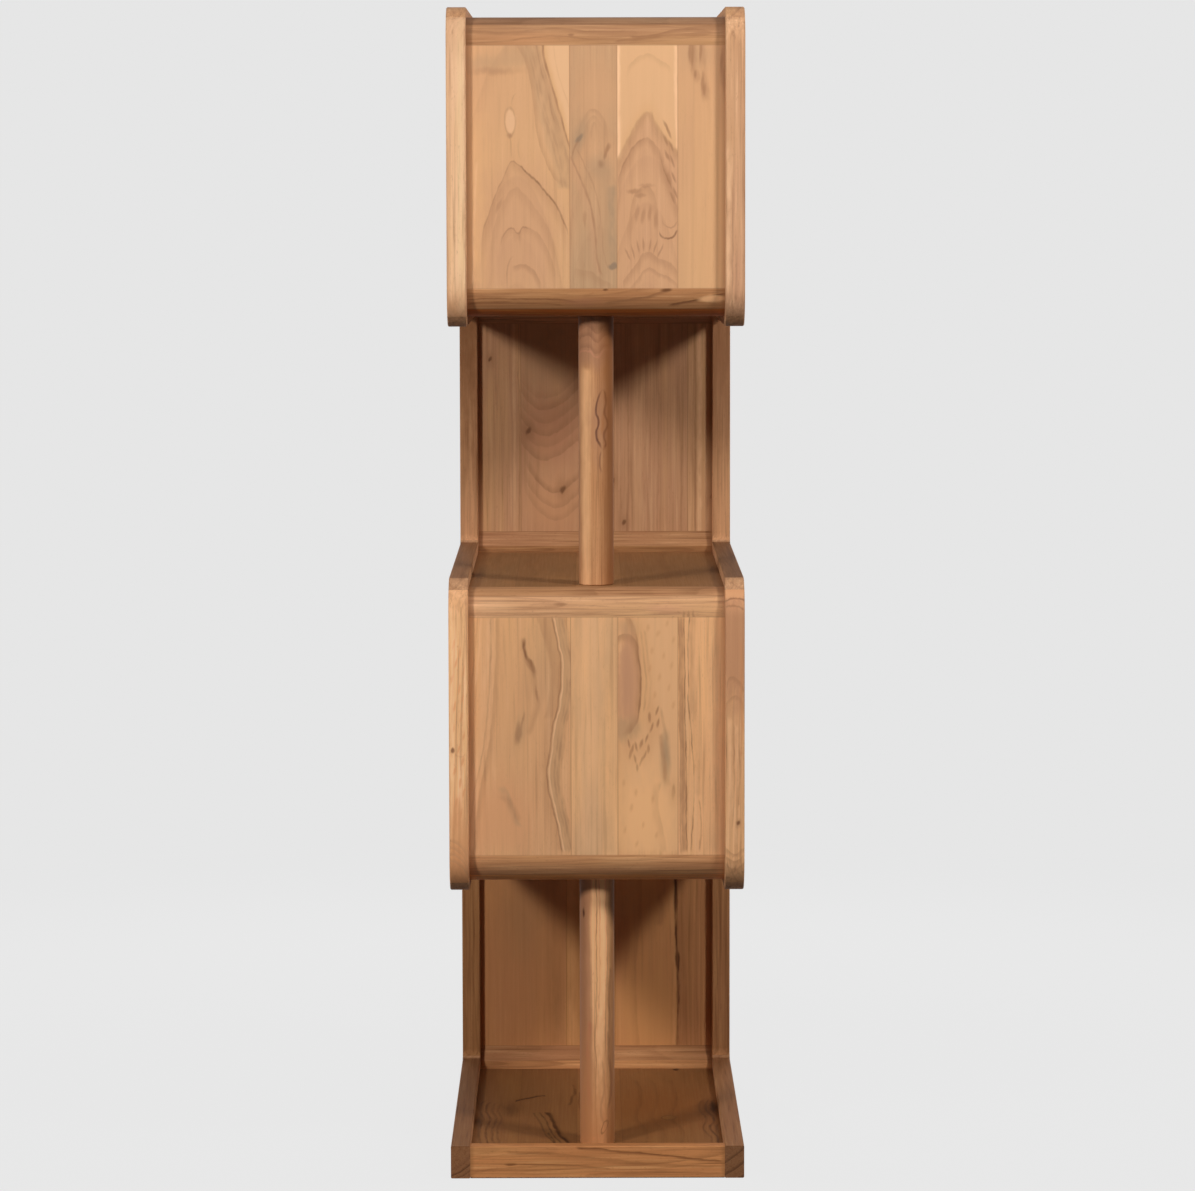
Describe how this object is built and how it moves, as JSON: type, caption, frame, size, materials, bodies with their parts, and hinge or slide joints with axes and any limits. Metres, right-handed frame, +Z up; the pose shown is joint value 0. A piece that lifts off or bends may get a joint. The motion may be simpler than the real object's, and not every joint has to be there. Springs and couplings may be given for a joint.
{
  "type": "serpentine bookcase",
  "caption": "Tall narrow bookcase: one planked board snakes up between two mitred side frames, leaving bays open on both sides, with a round post at the open end of each.",
  "frame": {"origin": "on the floor, under the middle of the case", "axes": "+Z up, -Y out of the narrow front with the lip of the floor board, +X to the right as seen from the front; the bays are open towards -X and +X"},
  "size_m": [0.378, 0.64, 1.5],
  "materials": {
    "frame_wood": "oiled solid wood, grain along each board",
    "plank_wood": "oiled solid wood planks with knots, grain along the path of the board",
    "rail_wood": "oiled solid wood, grain across the case",
    "lip_wood": "oiled solid wood, grain across the case",
    "post_wood": "turned and oiled solid wood, grain upright",
    "key_wood": "raw hardwood of the hidden tenons and tongues"
  },
  "bodies": {
    "root": {"back_high_bottom_rail": "rail_wood", "back_high_planks": "plank_wood", "back_high_top_rail": "rail_wood", "back_lip": "lip_wood", "back_low_bottom_rail": "rail_wood", "back_low_planks": "plank_wood", "back_low_top_rail": "rail_wood", "floor_back_rail": "rail_wood", "floor_planks": "plank_wood", "frame_tenons": "key_wood", "front_high_bottom_rail": "rail_wood", "front_high_planks": "plank_wood", "front_high_top_rail": "rail_wood", "front_lip": "lip_wood", "front_low_bottom_rail": "rail_wood", "front_low_planks": "plank_wood", "front_low_top_rail": "rail_wood", "high_back_post": "post_wood", "high_front_post": "post_wood", "left_back_high_upright": "frame_wood", "left_back_low_upright": "frame_wood", "left_floor_rail": "frame_wood", "left_front_high_upright": "frame_wood", "left_front_low_upright": "frame_wood", "left_shelf_1_rail": "frame_wood", "left_shelf_2_rail": "frame_wood", "left_shelf_3_rail": "frame_wood", "left_top_rail": "frame_wood", "lip_tenons": "key_wood", "low_back_post": "post_wood", "low_front_post": "post_wood", "mitre_tongues": "key_wood", "right_back_high_upright": "frame_wood", "right_back_low_upright": "frame_wood", "right_floor_rail": "frame_wood", "right_front_high_upright": "frame_wood", "right_front_low_upright": "frame_wood", "right_shelf_1_rail": "frame_wood", "right_shelf_2_rail": "frame_wood", "right_shelf_3_rail": "frame_wood", "right_top_rail": "frame_wood", "shelf_1_back_rail": "rail_wood", "shelf_1_front_rail": "rail_wood", "shelf_1_planks": "plank_wood", "shelf_2_back_rail": "rail_wood", "shelf_2_front_rail": "rail_wood", "shelf_2_planks": "plank_wood", "shelf_3_back_rail": "rail_wood", "shelf_3_front_rail": "rail_wood", "shelf_3_planks": "plank_wood", "top_front_rail": "rail_wood", "top_planks": "plank_wood"}
  },
  "joints": []
}
